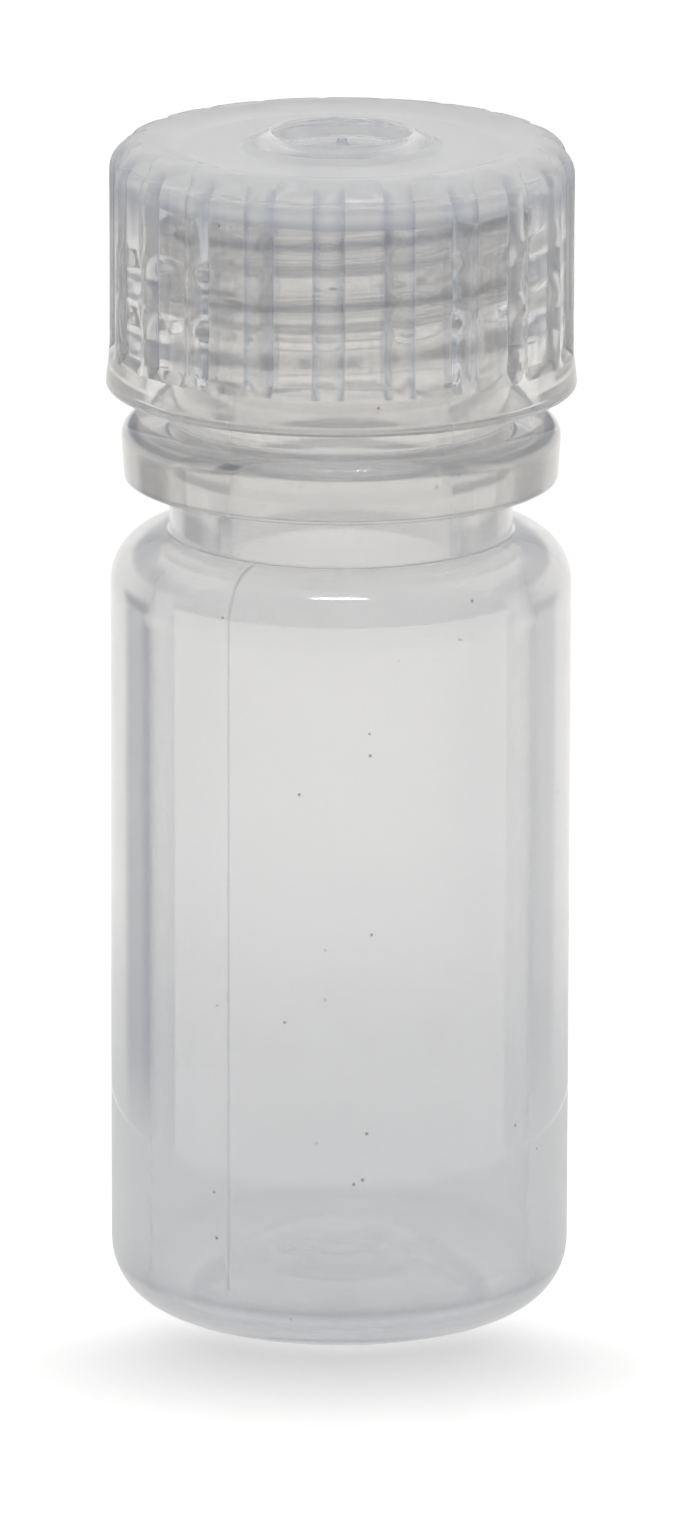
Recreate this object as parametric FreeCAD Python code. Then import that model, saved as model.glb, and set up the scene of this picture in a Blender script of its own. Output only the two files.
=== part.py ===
import FreeCAD, Part
import math
import os

# Small narrow-mouth reagent bottle with a fluted screw cap and a sealing liner.
# Millimetres. The bottle stands on z = 0, its axis is +Z and the front is -Y.

# Bottle: body and base
body_diameter = 25.0
body_wall = 2.1
heel_radius = 3.5
base_thickness = 1.3
standing_ring_width = 1.5
push_up_height = 3.0

# Bottle: shoulder, neck and flange
shoulder_height = 43.35
shoulder_radius = 2.85
shoulder_wall = 1.5
shoulder_inner_radius = 2.8
neck_diameter = 18.6
neck_fillet = 0.35
neck_below_flange = 2.9
flange_diameter = 23.9
flange_thickness = 3.4
flange_draft = 0.2
flange_edge_radius = 1.05
flange_root_radius = 0.3
finish_height = 12.45
bore_diameter = 12.0
bore_lip_radius = 1.1
rim_radius = 0.4

# Liner between the rim and the top plate of the cap
liner_thickness = 1.2
liner_side_clearance = 0.3

# Cap: wall and skirt
skirt_gap = 1.6
thread_room = 1.6
cap_wall = 1.25
flute_count = 20
flute_depth = 0.4
flute_width = 2.9
flute_flank_angle = 40.0
flute_turn = 5.7
skirt_height = 2.0
skirt_flare = 0.3
skirt_edge_radius = 0.4
mouth_edge_radius = 0.25

# Cap: top plate, boss and gate well
top_plate = 1.15
cap_edge_radius = 1.85
lip_height = 0.45
lip_width = 2.3
boss_diameter = 11.0
boss_height = 1.0
boss_root_radius = 0.3
well_diameter = 7.5
well_depth = 1.1
well_draft = 0.25
well_edge_radius = 0.12
pip_diameter = 0.7
pip_height = 0.6

# Edges rounded by less than this are small straight chamfers
smallest_fillet = 0.5

# Sizes that follow from the driving ones
body_radius = body_diameter / 2
neck_radius = neck_diameter / 2
bore_radius = bore_diameter / 2
flange_radius = flange_diameter / 2
flange_bottom = shoulder_height + neck_below_flange
flange_top = flange_bottom + flange_thickness
rim_height = flange_top + finish_height
plate_underside = rim_height + liner_thickness
dish_floor = plate_underside + top_plate
cap_top = dish_floor + lip_height
skirt_bottom = flange_top + skirt_gap
skirt_top = skirt_bottom + skirt_height
cap_inner_radius = neck_radius + thread_room
flute_floor_radius = cap_inner_radius + cap_wall
cap_crest_radius = flute_floor_radius + flute_depth


def point(radius, height):
    return FreeCAD.Vector(radius, 0, height)


def line(start, end):
    """A straight edge, or none where the two points meet."""
    if start.isEqual(end, 1e-6):
        return []
    return [Part.LineSegment(start, end).toShape()]


def rounded_edges(corners):
    """Lines through (radius, height, rounding) corners, with a fillet or chamfer at each rounded one."""
    points = [point(radius, height) for radius, height, rounding in corners]
    edges = []
    start = points[0]
    for index in range(1, len(corners) - 1):
        corner = points[index]
        rounding = corners[index][2]
        back = (points[index - 1] - corner).normalize()
        ahead = (points[index + 1] - corner).normalize()
        half_turn = back.getAngle(ahead) / 2
        setback = rounding / math.tan(half_turn)
        turn_start = corner + back * setback
        turn_end = corner + ahead * setback
        edges += line(start, turn_start)
        if rounding < smallest_fillet:
            edges += line(turn_start, turn_end)
        else:
            bisector = (back + ahead).normalize()
            turn_middle = corner + bisector * (rounding / math.sin(half_turn) - rounding)
            edges.append(Part.Arc(turn_start, turn_middle, turn_end).toShape())
        start = turn_end
    return edges + line(start, points[-1])


def revolve(edges):
    """Solid of revolution about Z from the edges of one closed outline."""
    wire = Part.Wire(Part.__sortEdges__(edges))
    return Part.Face(wire).revolve(FreeCAD.Vector(), FreeCAD.Vector(0, 0, 1), 360)


def dome_arc(chord_radius, chord_height, rise):
    """Arc from the edge of a dome up to its top on the axis."""
    sphere_radius = (chord_radius ** 2 + rise ** 2) / (2 * rise)
    half_angle = math.asin(min(1.0, chord_radius / sphere_radius)) / 2
    middle_radius = sphere_radius * math.sin(half_angle)
    middle_height = chord_height + rise - sphere_radius * (1 - math.cos(half_angle))
    edge = point(chord_radius, chord_height)
    middle = point(middle_radius, middle_height)
    return Part.Arc(edge, middle, point(0, chord_height + rise)).toShape()


def make_bottle():
    """One blow-moulded shell: push-up base, body, shoulder, neck, flange and rim."""
    inner_radius = body_radius - body_wall
    shoulder_underside = shoulder_height - shoulder_wall
    push_up_radius = body_radius - heel_radius - standing_ring_width
    inner_heel_radius = heel_radius - body_wall
    outer_shoulder = min(shoulder_radius, body_radius - neck_radius - neck_fillet)
    inner_shoulder = min(shoulder_inner_radius, inner_radius - bore_radius - bore_lip_radius)
    corners = [
        (push_up_radius, 0, 0),
        (body_radius, 0, heel_radius),
        (body_radius, shoulder_height, outer_shoulder),
        (neck_radius, shoulder_height, neck_fillet),
        (neck_radius, flange_bottom, 0),
        (flange_radius - flange_draft, flange_bottom, 0),
        (flange_radius, flange_top, flange_edge_radius),
        (neck_radius, flange_top, flange_root_radius),
        (neck_radius, rim_height, rim_radius),
        (bore_radius, rim_height, rim_radius),
        (bore_radius, shoulder_underside, bore_lip_radius),
        (inner_radius, shoulder_underside, inner_shoulder),
        (inner_radius, base_thickness, inner_heel_radius),
        (push_up_radius, base_thickness, 0),
    ]
    underside = dome_arc(push_up_radius, 0, push_up_height)
    inside = dome_arc(push_up_radius, base_thickness, push_up_height)
    axis = line(point(0, push_up_height), point(0, push_up_height + base_thickness))
    return revolve(rounded_edges(corners) + [underside, inside] + axis)


def make_cap_blank():
    """The cap before its flutes: skirt, wall, raised edge, dished top, boss and gate well."""
    dish_edge_radius = cap_crest_radius - lip_width
    boss_top = dish_floor + boss_height
    well_floor = boss_top - well_depth
    well_radius = well_diameter / 2
    pip_radius = pip_diameter / 2
    corners = [
        (0, plate_underside, 0),
        (cap_inner_radius, plate_underside, liner_side_clearance),
        (cap_inner_radius, skirt_bottom, mouth_edge_radius),
        (cap_crest_radius + skirt_flare, skirt_bottom, skirt_edge_radius),
        (cap_crest_radius, skirt_top, 0),
        (cap_crest_radius, cap_top, cap_edge_radius),
        (dish_edge_radius, cap_top, 0),
        (dish_edge_radius - lip_height, dish_floor, 0),
        (boss_diameter / 2, dish_floor, boss_root_radius),
        (well_radius, boss_top, well_edge_radius),
        (well_radius - well_draft, well_floor, 0),
        (pip_radius, well_floor, 0),
        (pip_radius, well_floor + pip_height, 0),
        (0, well_floor + pip_height, 0),
    ]
    axis = line(point(0, well_floor + pip_height), point(0, plate_underside))
    return revolve(rounded_edges(corners) + axis)


def make_flute_cutter():
    """One flute: it rises from the skirt band and runs out through the rounded top edge at 45 degrees."""
    floor_to_edge_centre = cap_edge_radius - flute_depth
    knee_height = cap_top - cap_edge_radius + floor_to_edge_centre * math.tan(math.radians(22.5))
    run_out = 2 * cap_edge_radius
    outside = cap_crest_radius + cap_edge_radius
    corners = [
        (flute_floor_radius, skirt_top, 0),
        (flute_floor_radius, knee_height, 0),
        (flute_floor_radius - run_out, knee_height + run_out, 0),
        (outside, knee_height + run_out, 0),
        (outside, skirt_top, 0),
        (flute_floor_radius, skirt_top, 0),
    ]
    ring = revolve(rounded_edges(corners))
    flank_slope = math.tan(math.radians(flute_flank_angle))
    tip_radius = cap_crest_radius - flute_width / 2 / flank_slope
    outer_half_width = (outside - tip_radius) * flank_slope
    wedge_points = [
        FreeCAD.Vector(0, -tip_radius, skirt_top),
        FreeCAD.Vector(outer_half_width, -outside, skirt_top),
        FreeCAD.Vector(-outer_half_width, -outside, skirt_top),
        FreeCAD.Vector(0, -tip_radius, skirt_top),
    ]
    wedge_height = knee_height + run_out - skirt_top
    wedge = Part.Face(Part.makePolygon(wedge_points)).extrude(FreeCAD.Vector(0, 0, wedge_height))
    return ring.common(wedge)


def make_screw_cap():
    """One injection-moulded cap with a ring of flutes."""
    cutter = make_flute_cutter()
    flutes = []
    for index in range(flute_count):
        flute = cutter.copy()
        angle = flute_turn + index * 360 / flute_count
        flute.rotate(FreeCAD.Vector(), FreeCAD.Vector(0, 0, 1), angle)
        flutes.append(flute)
    return make_cap_blank().cut(flutes)


def make_cap_liner():
    """Sealing disc that fills the cap from its top plate down to the rim of the neck."""
    liner_radius = cap_inner_radius - liner_side_clearance
    return Part.makeCylinder(liner_radius, liner_thickness, FreeCAD.Vector(0, 0, rim_height))


parts = {
    "bottle": make_bottle(),
    "screw_cap": make_screw_cap(),
    "cap_liner": make_cap_liner(),
}
os.makedirs("parts", exist_ok=True)
for name, shape in parts.items():
    solid = shape.Solids[0]
    solid.exportStep("parts/" + name + ".step")
    print(name, len(shape.Solids), "solid", solid.isValid(), round(solid.Volume, 1), "mm3")
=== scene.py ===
import math

import bmesh
import bpy
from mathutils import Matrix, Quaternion, Vector


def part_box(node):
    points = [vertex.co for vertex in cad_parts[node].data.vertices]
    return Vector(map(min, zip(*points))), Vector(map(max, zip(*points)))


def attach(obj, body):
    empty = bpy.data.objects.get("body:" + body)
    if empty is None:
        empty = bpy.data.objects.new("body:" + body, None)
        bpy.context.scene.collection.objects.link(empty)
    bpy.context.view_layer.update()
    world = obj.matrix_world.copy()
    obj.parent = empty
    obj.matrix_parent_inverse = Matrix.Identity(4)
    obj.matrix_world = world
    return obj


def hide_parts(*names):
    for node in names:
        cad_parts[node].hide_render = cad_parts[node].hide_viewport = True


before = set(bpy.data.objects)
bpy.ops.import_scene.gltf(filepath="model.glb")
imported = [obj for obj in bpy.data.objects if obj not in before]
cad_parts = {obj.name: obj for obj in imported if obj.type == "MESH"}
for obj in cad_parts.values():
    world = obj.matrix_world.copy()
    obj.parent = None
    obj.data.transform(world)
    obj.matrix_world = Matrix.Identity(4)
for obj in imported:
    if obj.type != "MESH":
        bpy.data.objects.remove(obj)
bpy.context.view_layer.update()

# Small moulded reagent bottle with a fluted screw cap and a sealing liner.
# Lengths are millimetres and angles are degrees unless a comment says otherwise. The front is -Y.
MM = 0.001
bottle_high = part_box("bottle")[1]
cap_low, cap_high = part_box("screw_cap")
liner_low, liner_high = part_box("cap_liner")

# Bottle sizes, from the frame where it gives them
body_radius = bottle_high.x / MM
rim_height = bottle_high.z / MM
body_wall = 2.1
heel_radius = 3.5
base_thickness = 1.3
push_up_height = 3.0
push_up_radius = 7.9
push_up_flat = 3.2
push_up_rounding = 9.5
standing_ring_rounding = 0.8
shoulder_height = 43.35
shoulder_radius = 2.85
shoulder_wall = 1.5
shoulder_inner_rounding = 2.8
neck_radius = 9.3
neck_fillet = 0.15
flange_bottom = 46.25
flange_top = 49.65
flange_radius = 11.95
flange_draft = 0.2
flange_top_rounding = 1.05
flange_edge_rounding = 0.25
bore_radius = 6.0
bore_lip_rounding = 1.1
rim_rounding = 0.4
parting_turn = -28.7
parting_depth = 0.05
parting_half_width = 0.14

# Screw thread, on the neck and inside the cap
thread_pitch = 3.175
thread_turns = 2.05
thread_start = 54.87
thread_depth = 1.15
thread_root_width = 2.6
thread_crest_width = 0.4
thread_fade_turns = 0.12
cap_thread_drop = 1.5
cap_thread_depth = 0.3
cap_thread_root_width = 3.0
cap_thread_crest_width = 0.2

# Liner
liner_radius = liner_high.x / MM
liner_bottom = liner_low.z / MM
liner_edge_rounding = 0.2
liner_gap = 0.02

# Cap: plate, wall and skirt, then the dished top with its boss, gate well and pip
plate_underside = liner_high.z / MM
skirt_bottom = cap_low.z / MM
skirt_radius = cap_high.x / MM
boss_top = cap_high.z / MM
cap_inner_radius = 10.9
cap_crest_radius = 12.55
skirt_top = 53.25
skirt_edge_rounding = 0.4
skirt_shoulder_rounding = 0.3
mouth_rounding = 0.25
cap_edge_rounding = 1.85
cap_lip_height = 64.9
lip_width = 2.3
dish_floor = 64.45
dish_slope_width = 1.6
dish_rounding = 1.2
boss_radius = 5.5
boss_root_rounding = 0.3
well_radius = 3.75
well_draft = 0.25
well_depth = 1.1
well_rounding = 0.2
well_floor_rounding = 0.15
pip_radius = 0.35
pip_taper = 0.8
pip_height = 0.6
pip_rounding = 0.1

# Flutes: flat floors between round ribs, with arched ends that lean over the cap's edge
flute_count = 20
flute_turn = 5.7
flute_depth = 0.4
flute_width = 2.25
flute_ledge = 0.3
flute_top_lean = 86.0
flute_top_arch = 26.0
flute_top_fade = 15.0

# Edge shade, painted into the plastic's colour: how strongly each fine line is darkened, as a share, and
# where it lies
# Painted shade where the plastic bends light away, on the thread's and ribs' flanks, the flange's rounded
# edge, the well and the pip; painted shade along the real parting ridges; a painted dark line round the heel
parting_shade = 0.3
flange_shade = 0.55
flange_line_rise = 0.1
heel_line_shade = 0.45
heel_line_low = 2.2
heel_line_high = 3.2
heel_line_depth = 1.0
lower_thread_line = 0.6
well_shade = 0.25
well_shade_gap = 0.05
pip_shade = 0.9
rib_line_start = 0.2
rib_line_end = 0.9

# Mesh fineness, and columns as shares of a parting line, a flute's floor and a rib
arc_step_degrees = 7.5
fewest_arc_steps = 3
support_gap = 0.05
shortest_flat = 0.6
thread_row_step = 0.2
longest_row_step = 2.0
bottle_columns = 240
liner_columns = 160
parting_columns = (-1.5, -1, -0.5, 0, 0.5, 1, 1.5)
parting_clearance = 2
flute_floor_columns = (0, 0.35, 0.7, 0.92)
rib_columns = (0, 0.06, 0.16, 0.3, 0.45, 0.6, 0.8)
disc_corners = 96
on_line = 1e-3
tiny = 1e-6

# Camera: the photograph's angle, distance and focal length
photo_height = 1513
focal_pixels = 12868
camera_elevation = 14.55
camera_distance = 700.0
camera_target_height = 30.56
camera_roll = 0.142
camera_shift_pixels = 1.03
sensor_size = 36.0
clip_near = 50.0
clip_far = 20000.0

# Surrounding light: dim front, bright back and top, a darker strip at each side (reaches are cosines)
front_light = (0.15, 0.16, 0.18)
back_light = (0.36, 0.36, 0.36)
back_reach = (-0.5, 0.5)
top_light = 1.65
top_direction = (0, 0.35, 0.937)
top_reach = (0.35, 0.95)
strip_turn = 66.5
strip_reach = (0.85, 0.97)
left_strip_depth = 0.35
right_strip_depth = 0.2

# Lamp bar above the camera (power in watts for one lamp)
lamp_count = 8
lamp_bar_length = 125.0
lamp_distance = 400.0
lamp_elevation = 64.0
lamp_radius = 1.5
lamp_power = 0.20

# Cards seen only in the plastic: the curved one behind, with its soft zones, and the one on the floor
card_steps = 48
card_distance = 45.0
card_reach = 100.0
card_foot = 0.1
card_height = 110.0
card_side_starts = (36.5, 41.0)
card_side_ends = (44.2, 45.1)
card_side_feet = (-2.0, 6.0)
card_side_tops = (34.0, 40.0)
card_foot_fades = (0.0, 16.0)
card_dark_starts = (50.0, 56.0)
card_dark_ends = (64.0, 74.0)
card_plain = (0.93, 0.92, 0.90)
card_left = (0.08, 0.10, 0.15)
card_right = (0.50, 0.51, 0.53)
card_above = (0.24, 0.26, 0.31)
ground_card = (0.68, 0.68, 0.675)
ground_card_height = 0.02

# Floor: pale tones, a faint glow and a soft painted shadow in front of the bottle, where it glows less
floor_radius = 4000.0
floor_tone_scale = 60
floor_tone_detail = 4
floor_tones = ((0.90, 0.885, 0.865), (0.92, 0.905, 0.885))
floor_roughness = (0.7, 0.8)
floor_gloss = 0.1
floor_glow = 0.62
floor_glow_colour = (1.0, 0.985, 0.97)
painted_front_shadow = 0.30
painted_shadow_facing = (0.3, 0.9)
painted_shadow_reach = (12.0, 28.0)

# Part of the noise over which the roughness of floor and foam changes
noise_reach = (0.3, 0.7)

# Plastic of bottle and cap: bluish haze, loss of mostly red or mostly blue, flow marks, grain and dust
haze_colour = (0.98, 0.99, 1.0)
haze_forward = 0.3
cool_loss = (0.0, 0.12, 0.30)
warm_loss = (0.25, 0.15, 0.0)
plastic_index = 1.49
plastic_clearness = 0.985
plastic_tones = ((0.995, 0.995, 0.995), (1.0, 1.0, 1.0))
flow_detail = 3
grain_scale = 2500
grain_detail = 2
grain_height = 0.02
speck_scale = 500.0
speck_choice = (0.62, 0.64)
speck_edge = (0.03, 0.06)
speck_colour = (0.30, 0.28, 0.25)

# Bottle plastic: each change lies between a pair of heights, and haze and loss count per metre
bottle_flow_scale = 180
bottle_flow_roughness = 0.03
bottle_grain_strength = 0.15
# Colour of the painted shade along the bottle's fine lines
bottle_painted_shade_colour = (0.16, 0.18, 0.24)
bottle_spread = 2.0
coat_roughness = 0.05
body_roughness = 0.07
neck_roughness = 0.04
neck_smooth_heights = (49.3, 51.0)
body_haze = 220
neck_haze = 70
neck_haze_heights = (43.0, 45.5)
# Painted shade: more loss below the middle and at the heel darkens the body towards the bottom, and the cool
# loss colour low down makes it bluish there
lower_shade_loss = 6.0
lower_shade_heights = (8.0, 34.0)
neck_loss = 17.0
neck_loss_heights = (43.0, 45.0)
heel_shade_loss = 50.0
heel_shade_heights = (0.5, 4.5)
bottle_warm_heights = (30.0, 50.0)

# Cap plastic: as for the bottle, with a milky, matte top round the clear gate well
cap_flow_scale = 220
cap_flow_roughness = 0.04
cap_grain_strength = 0.10
# Colour of the painted shade along the cap's ribs, well and pip
cap_painted_shade_colour = (0.72, 0.76, 0.83)
cap_spread = 1.5
cap_roughness = 0.04
cap_top_roughness = 0.34
cap_matte_heights = (63.0, 64.5)
well_clear_radii = (4.2, 5.4)
cap_haze = 110.0
cap_top_haze = 520
cap_milky_heights = (62.3, 64.0)
cap_wall_loss = 26.0
cap_top_loss = 2.0
cap_loss_heights = (62.0, 63.5)
cap_cool_heights = (60.0, 63.5)

# Liner foam: white cells, with painted shade greying the underside
foam_scale = 1800
foam_detail = 4
foam_roughness = (0.35, 0.55)
foam_tones = ((0.90, 0.91, 0.92), (0.95, 0.95, 0.95))
foam_underside_shade = (0.52, 0.54, 0.58)
foam_shade_heights = (62.2, 62.9)
foam_bump_strength = 0.2
foam_bump_height = 0.03
foam_clearness = 0.1
foam_spread = 2.0


def smooth_step(low, high, value):
    """0 below low, 1 above high, with a soft change between."""
    share = min(1.0, max(0.0, (value - low) / (high - low)))
    return share * share * (3 - 2 * share)


def bell(low, high, value):
    """1 half way from low to high, falling softly to 0 at both."""
    middle = (low + high) / 2
    return smooth_step(low, middle, value) * smooth_step(high, middle, value)


def even_angles(count):
    """Angles about Z, evenly spread."""
    return [math.tau * index / count for index in range(count)]


def angle_between(first, second):
    """The smaller angle between two directions about Z."""
    return abs((first - second + math.pi) % math.tau - math.pi)


def rounded_outline(corners):
    """Points (radius, height) along lines through the corners, with an arc at each rounded corner."""
    points = [Vector(corners[0][:2])]
    for index in range(1, len(corners) - 1):
        corner = Vector(corners[index][:2])
        rounding = corners[index][2]
        back = (Vector(corners[index - 1][:2]) - corner).normalized()
        ahead = (Vector(corners[index + 1][:2]) - corner).normalized()
        half_turn = back.angle(ahead) / 2
        setback = rounding / math.tan(half_turn)
        centre = corner + (back + ahead).normalized() * (rounding / math.sin(half_turn))
        first = corner + back * setback - centre
        last = corner + ahead * setback - centre
        sweep = first.angle(last)
        steps = max(fewest_arc_steps, math.ceil(math.degrees(sweep) / arc_step_degrees))
        for step in range(steps + 1):
            share = step / steps
            spoke = first * math.sin(sweep * (1 - share)) + last * math.sin(sweep * share)
            points.append(centre + spoke / math.sin(sweep))
    points.append(Vector(corners[-1][:2]))
    return points


def nowhere(spot):
    """For an outline without a thread."""
    return False


def refined(points, on_thread):
    """The same outline with support rows near both ends of each straight run and more rows along it,
    which lie closest where on_thread says so."""
    rows = [points[0]]
    for start, end in zip(points, points[1:]):
        length = (end - start).length
        if length < tiny:
            continue
        shares = [1.0]
        if length > shortest_flat:
            inner = length - 2 * support_gap
            step = thread_row_step if on_thread((start + end) / 2) else longest_row_step
            count = max(1, math.ceil(inner / step))
            shares = [(support_gap + inner * index / count) / length for index in range(count + 1)] + [1.0]
        rows += [start.lerp(end, share) for share in shares]
    return rows


def new_object(name, mesh):
    """Scene object made from a mesh in the making."""
    data = bpy.data.meshes.new(name)
    mesh.to_mesh(data)
    mesh.free()
    made = bpy.data.objects.new(name, data)
    bpy.context.scene.collection.objects.link(made)
    return made


def turned_mesh(name, rows, angles, place, shade):
    """Closed mesh: the outline rows turned about Z, each point put where place(row, angle) says and
    given the edge shade that shade(row, angle) says."""
    mesh = bmesh.new()
    shade_layer = mesh.verts.layers.float.new("edge_shade")
    rings = []
    for index, row in enumerate(rows):
        if row.x < tiny:
            rings.append([mesh.verts.new((0, 0, row.y * MM))])
            continue
        ring = []
        for angle in angles:
            radius, height = place(index, angle)
            x = radius * math.cos(angle) * MM
            y = radius * math.sin(angle) * MM
            vert = mesh.verts.new((x, y, height * MM))
            # Painted shade: each point keeps how strongly its colour is darkened along the fine lines
            vert[shade_layer] = shade(index, angle)
            ring.append(vert)
        rings.append(ring)
    for low, high in zip(rings, rings[1:]):
        for index in range(len(angles)):
            after = (index + 1) % len(angles)
            if len(low) == 1:
                mesh.faces.new((low[0], high[after], high[index]))
            elif len(high) == 1:
                mesh.faces.new((low[index], low[after], high[0]))
            else:
                mesh.faces.new((low[index], low[after], high[after], high[index]))
    bmesh.ops.recalc_face_normals(mesh, faces=mesh.faces)
    for face in mesh.faces:
        face.smooth = True
    return new_object(name, mesh)


def thread_place(height, angle, start):
    """Turns from the thread's start to the ridge nearest here, and how far above its middle this is."""
    turn = (angle / math.tau) % 1.0
    along = (height - start) / thread_pitch - turn
    lap = round(along)
    return lap + turn, (along - lap) * thread_pitch


def thread_ridge(height, angle, start, root_width, crest_width):
    """How much of a thread's ridge stands at this place, from 0 on the root to 1 on the crest."""
    turns, above_middle = thread_place(height, angle, start)
    flank = (root_width - crest_width) / 2
    ridge = smooth_step(0, 1, (root_width / 2 - abs(above_middle)) / flank)
    fade_in = smooth_step(0, thread_fade_turns, turns)
    fade_out = smooth_step(0, thread_fade_turns, thread_turns - turns)
    return ridge * fade_in * fade_out


def neck_ridge(height, angle):
    """The ridge of the thread on the neck."""
    return thread_ridge(height, angle, thread_start, thread_root_width, thread_crest_width)


def cap_ridge(height, angle):
    """The ridge of the thread inside the cap, which runs just below the one on the neck."""
    start = thread_start - cap_thread_drop
    return thread_ridge(height, angle, start, cap_thread_root_width, cap_thread_crest_width)


def neck_thread_line(height, angle):
    """How much painted shade the neck thread's edge gets here: full on the upper flank, less on the lower
    one.
    """
    ridge = neck_ridge(height, angle)
    above_middle = thread_place(height, angle, thread_start)[1]
    side = 1.0 if above_middle > 0 else lower_thread_line
    return side * (4 * ridge * (1 - ridge)) ** 2


def parting_angles():
    """Angles of the mould's two parting lines, from the X axis."""
    first = math.radians(parting_turn - 90)
    return [first, first + math.pi]


def bottle_corners():
    """Outline of the bottle as radius, height and rounding: up the outside, then down the inside."""
    inner_radius = body_radius - body_wall
    shoulder_underside = shoulder_height - shoulder_wall
    return [
        (0, push_up_height, 0),
        (push_up_flat, push_up_height, push_up_rounding),
        (push_up_radius, 0, standing_ring_rounding),
        (body_radius, 0, heel_radius),
        (body_radius, shoulder_height, shoulder_radius),
        (neck_radius, shoulder_height, neck_fillet),
        (neck_radius, flange_bottom, flange_edge_rounding),
        (flange_radius - flange_draft, flange_bottom, flange_edge_rounding),
        (flange_radius, flange_top, flange_top_rounding),
        (neck_radius, flange_top, neck_fillet),
        (neck_radius, rim_height, rim_rounding),
        (bore_radius, rim_height, rim_rounding),
        (bore_radius, shoulder_underside, bore_lip_rounding),
        (inner_radius, shoulder_underside, shoulder_inner_rounding),
        (inner_radius, base_thickness, heel_radius - body_wall),
        (push_up_radius, base_thickness, standing_ring_rounding),
        (push_up_flat, push_up_height + base_thickness, push_up_rounding),
        (0, push_up_height + base_thickness, 0),
    ]


def make_bottle():
    """Thin shell with its push-up base, shoulder, flange, threaded neck and mould parting lines."""

    def on_thread(spot):
        return abs(spot.x - neck_radius) < on_line and spot.y > flange_top

    rows = refined(rounded_outline(bottle_corners()), on_thread)
    heights = [row.y for row in rows]
    rim_index = heights.index(max(heights))
    off_neck = neck_radius + neck_fillet
    arc_centre = Vector((body_radius - shoulder_radius, shoulder_height - shoulder_radius))
    seams = parting_angles()
    seam_half = parting_half_width / body_radius

    def from_seam(angle):
        return min(angle_between(angle, seam) for seam in seams)

    extra = [(seam + seam_half * share) % math.tau for seam in seams for share in parting_columns]
    clear_of_seam = parting_clearance * seam_half
    plain = [angle for angle in even_angles(bottle_columns) if from_seam(angle) > clear_of_seam]

    def outward(row):
        """Direction out of the body or shoulder."""
        return Vector((max(0, row.x - arc_centre.x), max(0, row.y - arc_centre.y))).normalized()

    def seam_share(index, angle):
        """1 in the middle of a parting line on the body or shoulder, 0 beside it."""
        row = rows[index]
        on_body = heel_radius < row.y <= shoulder_height and row.x >= off_neck
        if index > rim_index or not on_body:
            return 0.0
        return smooth_step(1, 0, from_seam(angle) / seam_half)

    def place(index, angle):
        row = rows[index]
        radius = row.x
        if index < rim_index and on_thread(row):
            radius += thread_depth * neck_ridge(row.y, angle)
        return Vector((radius, row.y)) - outward(row) * (parting_depth * seam_share(index, angle))

    def shade(index, angle):
        """Painted edge shade of the thread's flanks, the flange's rounded edge and the parting lines, and a
        painted dark line at the heel.
        """
        row = rows[index]
        if index >= rim_index:
            return 0.0
        if on_thread(row):
            return neck_thread_line(row.y, angle)
        if row.x > off_neck and row.y > shoulder_height:
            return flange_shade * bell(flange_top - flange_top_rounding, flange_top + flange_line_rise, row.y)
        if row.x > body_radius - heel_line_depth and row.y < heel_radius:
            return heel_line_shade * bell(heel_line_low, heel_line_high, row.y)
        return parting_shade * seam_share(index, angle)

    piece = turned_mesh("bottle_shell", rows, sorted(plain + extra), place, shade)
    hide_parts("bottle")
    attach(piece, "bottle")
    return piece


def rib_half_width():
    """Half the width of the rib between two flutes."""
    return math.pi * cap_crest_radius / flute_count - flute_width / 2


def flute_angles():
    """Columns that follow every flute's flat floor and the round rib beside it."""
    half = flute_width / 2
    floor_steps = [half * share for share in flute_floor_columns]
    rib_steps = [half + rib_half_width() * share for share in rib_columns]
    steps = floor_steps + rib_steps
    offsets = sorted({-step for step in steps} | set(steps))
    angles = []
    for index in range(flute_count):
        middle = math.radians(flute_turn - 90 + index * 360 / flute_count)
        angles += [(middle + offset / cap_crest_radius) % math.tau for offset in offsets]
        angles.append((middle + math.pi / flute_count) % math.tau)
    return sorted(angles)


def off_flute(angle):
    """Distance round the wall to the middle of the nearest flute."""
    pitch = math.tau / flute_count
    first = math.radians(flute_turn - 90)
    return abs((angle - first + pitch / 2) % pitch - pitch / 2) * cap_crest_radius


def flute_share(off_middle):
    """1 on a flute's flat floor, falling to 0 over the round rib beside it."""
    half_rib = rib_half_width()
    from_crest = min(half_rib, half_rib + flute_width / 2 - off_middle)
    rib_round = (half_rib ** 2 + flute_depth ** 2) / (2 * flute_depth)
    return (rib_round - math.sqrt(rib_round ** 2 - from_crest ** 2)) / flute_depth


def flute_left(lean, off_middle):
    """Share of the flute's depth that is left near its arched top end, by lean over the cap's edge."""
    across = min(1.0, off_middle / (flute_width / 2))
    end = flute_top_lean - flute_top_arch * across ** 2
    return smooth_step(end, end - flute_top_fade, lean)


def cap_corners():
    """Outline of the cap as radius, height and rounding: down the inside, up the wall, in over the top."""
    dish_radius = cap_crest_radius - lip_width
    well_floor = boss_top - well_depth
    pip_top = well_floor + pip_height
    return [
        (0, plate_underside, 0),
        (cap_inner_radius, plate_underside, mouth_rounding),
        (cap_inner_radius, skirt_bottom, mouth_rounding),
        (skirt_radius, skirt_bottom, skirt_edge_rounding),
        (cap_crest_radius, skirt_top, skirt_shoulder_rounding),
        (cap_crest_radius, cap_lip_height, cap_edge_rounding),
        (dish_radius, cap_lip_height, dish_rounding),
        (dish_radius - dish_slope_width, dish_floor, dish_rounding),
        (boss_radius, dish_floor, boss_root_rounding),
        (well_radius, boss_top, well_rounding),
        (well_radius - well_draft, well_floor, well_floor_rounding),
        (pip_radius, well_floor, pip_rounding),
        (pip_radius * pip_taper, pip_top, pip_rounding),
        (0, pip_top, 0),
    ]


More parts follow.
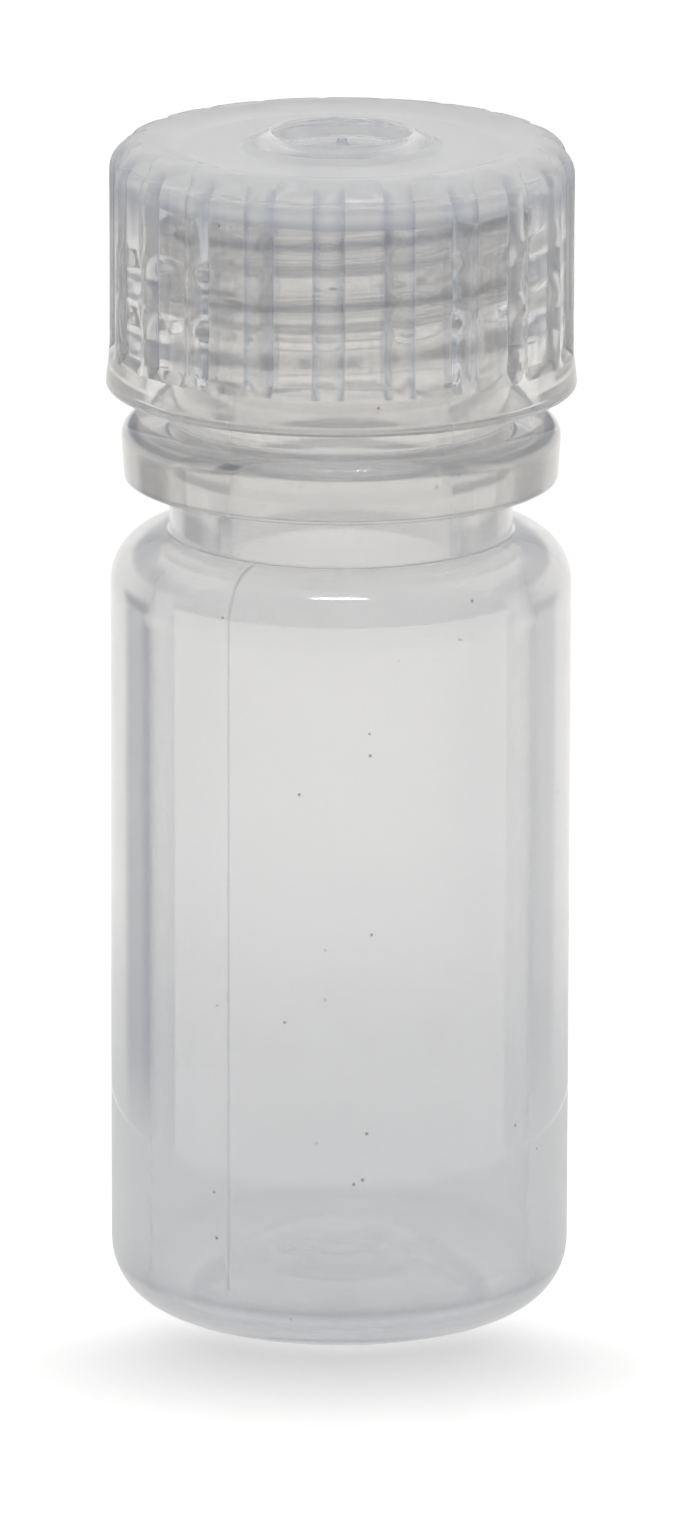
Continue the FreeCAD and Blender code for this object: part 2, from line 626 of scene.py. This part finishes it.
def cap_outline():
    """The cap's rounded outline, with one more point on the wall, above the ledge where the flutes begin."""
    outline = rounded_outline(cap_corners())
    wall_foot = next(index for index, spot in enumerate(outline) if abs(spot.x - cap_crest_radius) < tiny)
    outline.insert(wall_foot + 1, Vector((cap_crest_radius, skirt_top + 2 * flute_ledge)))
    return outline


def make_cap():
    """Moulded cap: fluted wall, flared skirt, dished top with boss and gate well, thread inside."""

    def on_thread(spot):
        return abs(spot.x - cap_inner_radius) < on_line

    rows = refined(cap_outline(), on_thread)
    heights = [row.y for row in rows]
    foot_index = heights.index(min(heights))
    edge_centre = Vector((cap_crest_radius - cap_edge_rounding, cap_lip_height - cap_edge_rounding))

    def flute_end(row, off_middle):
        """Share of the flute left at this height: all of it on the wall, less over the cap's edge."""
        spoke = row - edge_centre
        if spoke.y < 0:
            return 1.0
        return flute_left(math.degrees(math.atan2(spoke.y, spoke.x)), off_middle)

    def fluted(row, angle):
        """A place on the outer wall, moved in by the depth of the flute that crosses it."""
        if row.y < skirt_top or row.x < edge_centre.x:
            return row
        off_middle = off_flute(angle)
        depth = flute_depth * flute_share(off_middle)
        if row.y < edge_centre.y:
            return row - Vector((depth * smooth_step(skirt_top, skirt_top + flute_ledge, row.y), 0))
        return row - (row - edge_centre).normalized() * (depth * flute_end(row, off_middle))

    def place(index, angle):
        row = rows[index]
        if on_thread(row):
            return row.x - cap_thread_depth * cap_ridge(row.y, angle), row.y
        return fluted(row, angle) if index > foot_index else row

    def shade(index, angle):
        """Painted edge shade of the pip, the well's wall and the ribs' flanks, on both faces of the fluted
        wall.
        """
        row = rows[index]
        in_well = boss_top - well_depth + well_shade_gap < row.y < boss_top - well_rounding
        if in_well and row.x < well_radius:
            return pip_shade if row.x < 2 * pip_radius else well_shade
        if not skirt_top < row.y < cap_lip_height or row.x < edge_centre.x:
            return 0.0
        off_middle = off_flute(angle)
        if off_middle < flute_width / 2 - tiny:
            return 0.0
        from_crest = (rib_half_width() + flute_width / 2 - off_middle) / rib_half_width()
        return smooth_step(rib_line_start, rib_line_end, from_crest) * flute_end(row, off_middle)

    piece = turned_mesh("cap_shell", rows, flute_angles(), place, shade)
    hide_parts("screw_cap")
    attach(piece, "cap")
    return piece


def make_liner():
    """Plain sealing disc under the top plate, with softened edges."""
    liner_top = plate_underside - liner_gap
    corners = [
        (0, liner_bottom, 0),
        (liner_radius, liner_bottom, liner_edge_rounding),
        (liner_radius, liner_top, liner_edge_rounding),
        (0, liner_top, 0),
    ]
    rows = refined(rounded_outline(corners), nowhere)

    def place(index, angle):
        return rows[index]

    def shade(index, angle):
        return 0.0

    piece = turned_mesh("liner_disc", rows, even_angles(liner_columns), place, shade)
    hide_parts("cap_liner")
    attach(piece, "liner")
    return piece


class Nodes:
    """Short ways to add and join shader nodes of one material or world."""

    def __init__(self, tree):
        self.tree = tree

    def add(self, kind, **values):
        node = self.tree.nodes.new(kind)
        for name, value in values.items():
            setattr(node, name, value)
        return node

    def join(self, start, end):
        self.tree.links.new(start, end)

    def parts(self, place):
        """The X, Y and Z of a place."""
        node = self.add("ShaderNodeSeparateXYZ")
        self.join(place, node.inputs["Vector"])
        return node.outputs["X"], node.outputs["Y"], node.outputs["Z"]

    def length(self, place):
        """Distance from the middle to a place."""
        node = self.add("ShaderNodeVectorMath", operation="LENGTH")
        self.join(place, node.inputs[0])
        return node.outputs["Value"]

    def towards(self, place, direction):
        """How far a place lies along a direction."""
        node = self.add("ShaderNodeVectorMath", operation="DOT_PRODUCT")
        self.join(place, node.inputs[0])
        node.inputs[1].default_value = direction
        return node.outputs["Value"]

    def noise(self, place, scale, detail):
        node = self.add("ShaderNodeTexNoise")
        node.inputs["Scale"].default_value = scale
        node.inputs["Detail"].default_value = detail
        self.join(place, node.inputs["Vector"])
        return node.outputs["Fac"]

    def mapped(self, value, reach, start, end):
        """From start to end, with a soft change while the value crosses the reach."""
        node = self.add("ShaderNodeMapRange", interpolation_type="SMOOTHSTEP")
        self.join(value, node.inputs["Value"])
        for name, number in zip(("From Min", "From Max", "To Min", "To Max"), (*reach, start, end)):
            node.inputs[name].default_value = number
        return node.outputs["Result"]

    def over(self, value, reach, start, end):
        """The same for a length, with the reach in millimetres."""
        return self.mapped(value, (reach[0] * MM, reach[1] * MM), start, end)

    def math(self, operation, first, second):
        node = self.add("ShaderNodeMath", operation=operation)
        for socket, value in zip(node.inputs, (first, second)):
            if isinstance(value, (int, float)):
                socket.default_value = value
            else:
                self.join(value, socket)
        return node.outputs["Value"]

    def colours(self, factor, first, second):
        node = self.add("ShaderNodeMix", data_type="RGBA")
        self.join(factor, node.inputs["Factor"])
        for socket, colour in ((node.inputs[6], first), (node.inputs[7], second)):
            if isinstance(colour, tuple):
                socket.default_value = (*colour, 1)
            else:
                self.join(colour, socket)
        return node.outputs[2]

    # The painted edge shade kept on each point of the mesh
    def edge_shade(self):
        return self.add("ShaderNodeAttribute", attribute_name="edge_shade").outputs["Fac"]

    def specks(self, place):
        """1 on sparse specks of dust, 0 elsewhere."""
        cells = self.add("ShaderNodeTexVoronoi")
        cells.inputs["Scale"].default_value = speck_scale
        self.join(place, cells.inputs["Vector"])
        chosen = self.mapped(cells.outputs["Color"], speck_choice, 0.0, 1.0)
        return self.math("MULTIPLY", self.mapped(cells.outputs["Distance"], speck_edge, 1.0, 0.0), chosen)

    def bump(self, height, strength, distance):
        node = self.add("ShaderNodeBump")
        node.inputs["Strength"].default_value = strength
        node.inputs["Distance"].default_value = distance * MM
        self.join(height, node.inputs["Height"])
        return node.outputs["Normal"]


def new_material(name):
    """A material, its nodes, its main shader and the place on the object."""
    material = bpy.data.materials.new(name)
    material.use_nodes = True
    nodes = Nodes(material.node_tree)
    shader = material.node_tree.nodes["Principled BSDF"]
    place = nodes.add("ShaderNodeTexCoord").outputs["Object"]
    return material, nodes, shader, place


def set_plastic(shader, clearness, spread):
    """Clearness of the plastic, and how far light spreads under the skin of the part that isn't clear."""
    shader.inputs["Transmission Weight"].default_value = clearness
    shader.inputs["IOR"].default_value = plastic_index
    shader.inputs["Subsurface Weight"].default_value = 1.0
    shader.inputs["Subsurface Radius"].default_value = (1.0, 1.0, 1.0)
    shader.inputs["Subsurface Scale"].default_value = spread * MM


def paint_plastic(nodes, shader, place, flow, painted_shade_colour, grain_strength):
    """Faint flow marks, painted shade along fine edges, specks of dust and the mould's fine grain."""
    plain = nodes.colours(flow, *plastic_tones)
    # Painted shade: the edge shade darkens the plain colour towards the shade colour
    shaded = nodes.colours(nodes.edge_shade(), plain, painted_shade_colour)
    nodes.join(nodes.colours(nodes.specks(place), shaded, speck_colour), shader.inputs["Base Color"])
    grain = nodes.noise(place, grain_scale, grain_detail)
    nodes.join(nodes.bump(grain, grain_strength, grain_height), shader.inputs["Normal"])


def add_haze(material, nodes, density, absorption, lost_colour):
    """Light scattered and lost inside the plastic, so that thick places look milkier (both per metre).
    Blue scatters most, so the haze looks bluish; the lost colour, which the callers change with height, tints
    what shows through it."""
    scatter = nodes.add("ShaderNodeVolumeScatter")
    scatter.inputs["Anisotropy"].default_value = haze_forward
    scatter.inputs["Color"].default_value = (*haze_colour, 1)
    nodes.join(density, scatter.inputs["Density"])
    absorb = nodes.add("ShaderNodeVolumeAbsorption")
    nodes.join(lost_colour, absorb.inputs["Color"])
    nodes.join(absorption, absorb.inputs["Density"])
    both = nodes.add("ShaderNodeAddShader")
    nodes.join(scatter.outputs["Volume"], both.inputs[0])
    nodes.join(absorb.outputs["Volume"], both.inputs[1])
    nodes.join(both.outputs["Shader"], material.node_tree.nodes["Material Output"].inputs["Volume"])


def bottle_material():
    """Milky moulded polypropylene: hazy body, clearer neck, faint flow marks and a glossy skin."""
    material, nodes, shader, place = new_material("milky_polypropylene")
    height = nodes.parts(place)[2]
    flow = nodes.noise(place, bottle_flow_scale, flow_detail)
    smooth = nodes.over(height, neck_smooth_heights, body_roughness, neck_roughness)
    marks = nodes.math("MULTIPLY", flow, bottle_flow_roughness)
    nodes.join(nodes.math("ADD", smooth, marks), shader.inputs["Roughness"])
    paint_plastic(nodes, shader, place, flow, bottle_painted_shade_colour, bottle_grain_strength)
    set_plastic(shader, plastic_clearness, bottle_spread)
    shader.inputs["Coat Weight"].default_value = 1.0
    shader.inputs["Coat Roughness"].default_value = coat_roughness
    shader.inputs["Coat IOR"].default_value = plastic_index
    density = nodes.over(height, neck_haze_heights, body_haze, neck_haze)
    # Painted shade: the loss darkens the body towards the bottom and at the heel, and turns bluish low down
    shade_below_middle = nodes.over(height, lower_shade_heights, lower_shade_loss, 0.0)
    above_shoulder = nodes.over(height, neck_loss_heights, 0.0, neck_loss)
    shade_at_heel = nodes.over(height, heel_shade_heights, heel_shade_loss, 0.0)
    absorption = nodes.math("ADD", nodes.math("ADD", shade_below_middle, above_shoulder), shade_at_heel)
    warm_share = nodes.over(height, bottle_warm_heights, 0.0, 1.0)
    add_haze(material, nodes, density, absorption, nodes.colours(warm_share, cool_loss, warm_loss))
    return material


def cap_material():
    """Clearer moulded polypropylene of the cap: light haze on the wall, milky and matte on the top."""
    material, nodes, shader, place = new_material("clear_polypropylene")
    x, y, height = nodes.parts(place)
    off_axis = nodes.add("ShaderNodeCombineXYZ")
    nodes.join(x, off_axis.inputs["X"])
    nodes.join(y, off_axis.inputs["Y"])
    beside_well = nodes.over(nodes.length(off_axis.outputs["Vector"]), well_clear_radii, 0.0, 1.0)
    flow = nodes.noise(place, cap_flow_scale, flow_detail)
    matte_top = nodes.over(height, cap_matte_heights, 0.0, cap_top_roughness)
    wall_to_top = nodes.math("ADD", nodes.math("MULTIPLY", beside_well, matte_top), cap_roughness)
    marks = nodes.math("MULTIPLY", flow, cap_flow_roughness)
    nodes.join(nodes.math("ADD", wall_to_top, marks), shader.inputs["Roughness"])
    paint_plastic(nodes, shader, place, flow, cap_painted_shade_colour, cap_grain_strength)
    set_plastic(shader, plastic_clearness, cap_spread)
    milky_top = nodes.over(height, cap_milky_heights, 0.0, cap_top_haze)
    density = nodes.math("ADD", nodes.math("MULTIPLY", milky_top, beside_well), cap_haze)
    absorption = nodes.over(height, cap_loss_heights, cap_wall_loss, cap_top_loss)
    cool_share = nodes.over(height, cap_cool_heights, 0.0, 1.0)
    add_haze(material, nodes, density, absorption, nodes.colours(cool_share, warm_loss, cool_loss))
    return material


def liner_material():
    """Soft white foamed liner, slightly see-through, with painted shade greying it below."""
    material, nodes, shader, place = new_material("liner_foam")
    cells = nodes.noise(place, foam_scale, foam_detail)
    nodes.join(nodes.mapped(cells, noise_reach, *foam_roughness), shader.inputs["Roughness"])
    white = nodes.colours(cells, *foam_tones)
    # Painted shade: the foam's colour turns grey towards its underside
    underside_shade = nodes.over(nodes.parts(place)[2], foam_shade_heights, 1.0, 0.0)
    nodes.join(nodes.colours(underside_shade, white, foam_underside_shade), shader.inputs["Base Color"])
    nodes.join(nodes.bump(cells, foam_bump_strength, foam_bump_height), shader.inputs["Normal"])
    set_plastic(shader, foam_clearness, foam_spread)
    return material


def new_disc(name, radius, height):
    """A flat disc at this height, for the stage."""
    add_circle = bpy.ops.mesh.primitive_circle_add
    add_circle(vertices=disc_corners, radius=radius * MM, fill_type="NGON", location=(0, 0, height * MM))
    disc = bpy.context.object
    disc.name = name
    return disc


def make_floor():
    """Plain pale studio floor, which glows a little, with a painted shadow in front of the bottle where it
    glows less.
    """
    floor = new_disc("studio_floor", floor_radius, 0)
    material, nodes, shader, place = new_material("pale_floor")
    tone = nodes.noise(place, floor_tone_scale, floor_tone_detail)
    nodes.join(nodes.colours(tone, *floor_tones), shader.inputs["Base Color"])
    nodes.join(nodes.mapped(tone, noise_reach, *floor_roughness), shader.inputs["Roughness"])
    shader.inputs["Specular IOR Level"].default_value = floor_gloss
    shader.inputs["Emission Color"].default_value = (*floor_glow_colour, 1)
    # Painted shadow: the glow drops in front of the bottle and fades back with distance
    distance = nodes.length(place)
    facing = nodes.math("DIVIDE", nodes.towards(place, (0, -1, 0)), distance)
    front = nodes.mapped(facing, painted_shadow_facing, 0.0, painted_front_shadow)
    fading = nodes.over(distance, painted_shadow_reach, 1.0, 0.0)
    glow = nodes.math("SUBTRACT", floor_glow, nodes.math("MULTIPLY", front, fading))
    nodes.join(glow, shader.inputs["Emission Strength"])
    floor.data.materials.append(material)


def hide_from_camera(card):
    """Leaves a card to be seen only in and through the plastic."""
    card.visible_camera = False
    card.visible_diffuse = False
    card.visible_shadow = False
    card.visible_volume_scatter = False


def glowing_material(name):
    """A material that only glows, its nodes, the place on the object and the socket for its colour."""
    material, nodes, shader, place = new_material(name)
    shader.inputs["Base Color"].default_value = (0, 0, 0, 1)
    shader.inputs["Specular IOR Level"].default_value = 0.0
    shader.inputs["Emission Strength"].default_value = 1.0
    return material, nodes, place, shader.inputs["Emission Color"]


def card_band(nodes, along, starts, ends):
    """1 inside a soft-edged band along one direction, 0 outside it."""
    return nodes.math("MULTIPLY", nodes.over(along, starts, 0.0, 1.0), nodes.over(along, ends, 1.0, 0.0))


def back_card_material():
    """Warm grey glow, greyer at the foot, dark at the cap's height and at both sides below it."""
    material, nodes, place, colour = glowing_material("back_card")
    rightward, _, height = nodes.parts(place)
    leftward = nodes.math("MULTIPLY", rightward, -1.0)
    side_height = card_band(nodes, height, card_side_feet, card_side_tops)
    tone = nodes.colours(nodes.over(height, card_foot_fades, 1.0, 0.0), card_plain, ground_card)
    tone = nodes.colours(card_band(nodes, height, card_dark_starts, card_dark_ends), tone, card_above)
    for sideward, side_colour in ((rightward, card_right), (leftward, card_left)):
        side = card_band(nodes, sideward, card_side_starts, card_side_ends)
        tone = nodes.colours(nodes.math("MULTIPLY", side, side_height), tone, side_colour)
    nodes.join(tone, colour)
    return material


def make_back_card():
    """Curved card behind the bottle, for the plastic to look into."""
    mesh = bmesh.new()
    columns = []
    for index in range(card_steps + 1):
        turn = math.radians(card_reach * (2 * index / card_steps - 1))
        x = math.sin(turn) * card_distance * MM
        y = math.cos(turn) * card_distance * MM
        columns.append([mesh.verts.new((x, y, height * MM)) for height in (card_foot, card_height)])
    for first, second in zip(columns, columns[1:]):
        mesh.faces.new((first[0], second[0], second[1], first[1]))
    card = new_object("back_card", mesh)
    card.data.materials.append(back_card_material())
    hide_from_camera(card)


def make_ground_card():
    """Grey disc on the floor round the bottle, so that the base does not look into the bright floor."""
    card = new_disc("ground_card", card_distance, ground_card_height)
    material, _, _, colour = glowing_material("ground_card")
    colour.default_value = (*ground_card, 1)
    card.data.materials.append(material)
    hide_from_camera(card)


def make_world():
    """Soft surrounding light: bright behind and above, dim and bluish in front, a dark strip at each side."""
    world = bpy.data.worlds.new("studio_light")
    bpy.context.scene.world = world
    world.use_nodes = True
    nodes = Nodes(world.node_tree)
    background = world.node_tree.nodes["Background"]
    place = nodes.add("ShaderNodeTexCoord").outputs["Generated"]
    behind = nodes.mapped(nodes.towards(place, (0, 1, 0)), back_reach, 0.0, 1.0)
    above = nodes.mapped(nodes.towards(place, top_direction), top_reach, 0.0, top_light)
    strength = nodes.math("ADD", above, 1.0)
    turn = math.radians(strip_turn)
    for side, depth in ((-1, left_strip_depth), (1, right_strip_depth)):
        direction = (side * math.sin(turn), -math.cos(turn), 0)
        strip = nodes.mapped(nodes.towards(place, direction), strip_reach, 1.0, 1.0 - depth)
        strength = nodes.math("MULTIPLY", strength, strip)
    nodes.join(nodes.colours(behind, front_light, back_light), background.inputs["Color"])
    nodes.join(strength, background.inputs["Strength"])


def make_lamp_bar():
    """Row of small lamps above the camera, which leaves the glint on the shoulder."""
    lean = math.radians(lamp_elevation)
    front = -math.cos(lean) * lamp_distance
    height = math.sin(lean) * lamp_distance + shoulder_height
    for index in range(lamp_count):
        data = bpy.data.lights.new("lamp", "POINT")
        data.energy = lamp_power
        data.shadow_soft_size = lamp_radius * MM
        lamp = bpy.data.objects.new("lamp", data)
        lamp.visible_diffuse = False
        lamp.visible_volume_scatter = False
        bpy.context.scene.collection.objects.link(lamp)
        side = (index / (lamp_count - 1) - 0.5) * lamp_bar_length
        lamp.location = Vector((side, front, height)) * MM


def make_camera():
    """Camera at the photograph's angle, distance and framing."""
    data = bpy.data.cameras.new("camera")
    camera = bpy.data.objects.new("camera", data)
    bpy.context.scene.collection.objects.link(camera)
    data.sensor_width = sensor_size
    data.lens = focal_pixels / photo_height * sensor_size
    lean = math.radians(camera_elevation)
    back = Vector((0, -math.cos(lean), math.sin(lean)))
    camera.location = (Vector((0, 0, camera_target_height)) + back * camera_distance) * MM
    turn = (-back).to_track_quat("-Z", "Y") @ Quaternion((0, 0, 1), math.radians(camera_roll))
    camera.rotation_euler = turn.to_euler()
    data.shift_x = camera_shift_pixels / photo_height
    data.clip_start = clip_near * MM
    data.clip_end = clip_far * MM
    bpy.context.scene.camera = camera


def set_picture():
    """Plain colour handling, denoising and enough light bounces for clear plastic."""
    scene = bpy.context.scene
    scene.view_settings.view_transform = "Standard"
    scene.cycles.use_denoising = True
    scene.cycles.blur_glossy = 0.0
    scene.cycles.max_bounces = 40
    scene.cycles.transmission_bounces = 40
    scene.cycles.glossy_bounces = 12
    scene.cycles.diffuse_bounces = 6
    scene.cycles.volume_bounces = 24


make_camera()
make_world()
make_lamp_bar()
make_back_card()
make_ground_card()
make_floor()
make_bottle().data.materials.append(bottle_material())
make_cap().data.materials.append(cap_material())
make_liner().data.materials.append(liner_material())
set_picture()
